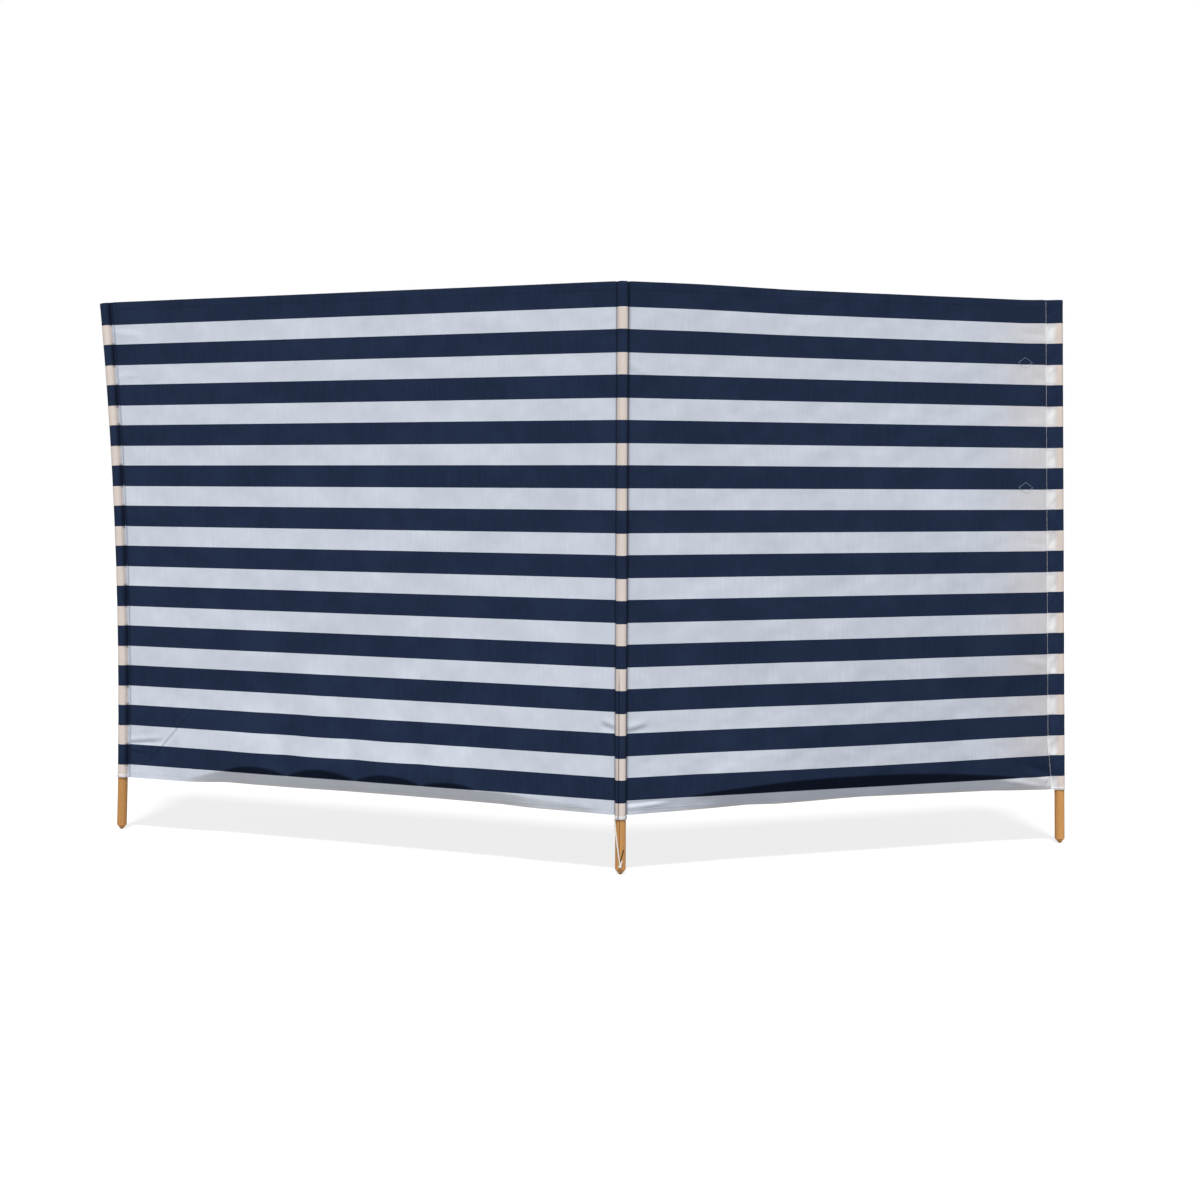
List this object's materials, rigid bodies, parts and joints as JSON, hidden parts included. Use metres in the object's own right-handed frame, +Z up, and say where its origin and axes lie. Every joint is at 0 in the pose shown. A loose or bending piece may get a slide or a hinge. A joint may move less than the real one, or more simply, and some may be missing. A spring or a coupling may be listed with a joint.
{
  "type": "beach windbreak",
  "caption": "Low beach windbreak of navy and white striped canvas in bays that stand in a shallow V, sewn into pockets on pointed wooden poles.",
  "frame": {"origin": "middle of the blunt end of the middle pole's point", "axes": "+X to the right along the row, +Y to the back, where the end poles stand, +Z up along the middle pole"},
  "size_m": [2.3959, 0.5443, 1.3218],
  "materials": {
    "wood": "matte",
    "white_canvas": "matte",
    "navy_canvas": "matte",
    "cord": "matte"
  },
  "bodies": {
    "middle": {"middle_pole": "wood", "middle_pocket": "white_canvas", "tie_cord": "cord"},
    "left_bay": {"left_pole": "wood", "left_pocket": "white_canvas", "left_cloth": "navy_canvas", "left_top_hem": "navy_canvas", "left_bottom_hem": "white_canvas"},
    "right_bay": {"right_pole": "wood", "right_pocket": "white_canvas", "right_cloth": "navy_canvas", "right_top_hem": "navy_canvas", "right_bottom_hem": "white_canvas", "upper_patch": "navy_canvas", "lower_patch": "navy_canvas"}
  },
  "joints": [
    {"name": "left_bay_fold", "type": "hinge", "parent": "middle", "child": "left_bay", "pos_m": [0, 0, 0], "axis": [0, 0, -1], "range_deg": [-104.6, 61.4]},
    {"name": "right_bay_fold", "type": "hinge", "parent": "middle", "child": "right_bay", "pos_m": [0, 0, 0], "axis": [0, 0, 1], "range_deg": [-103.3, 62.7]}
  ]
}
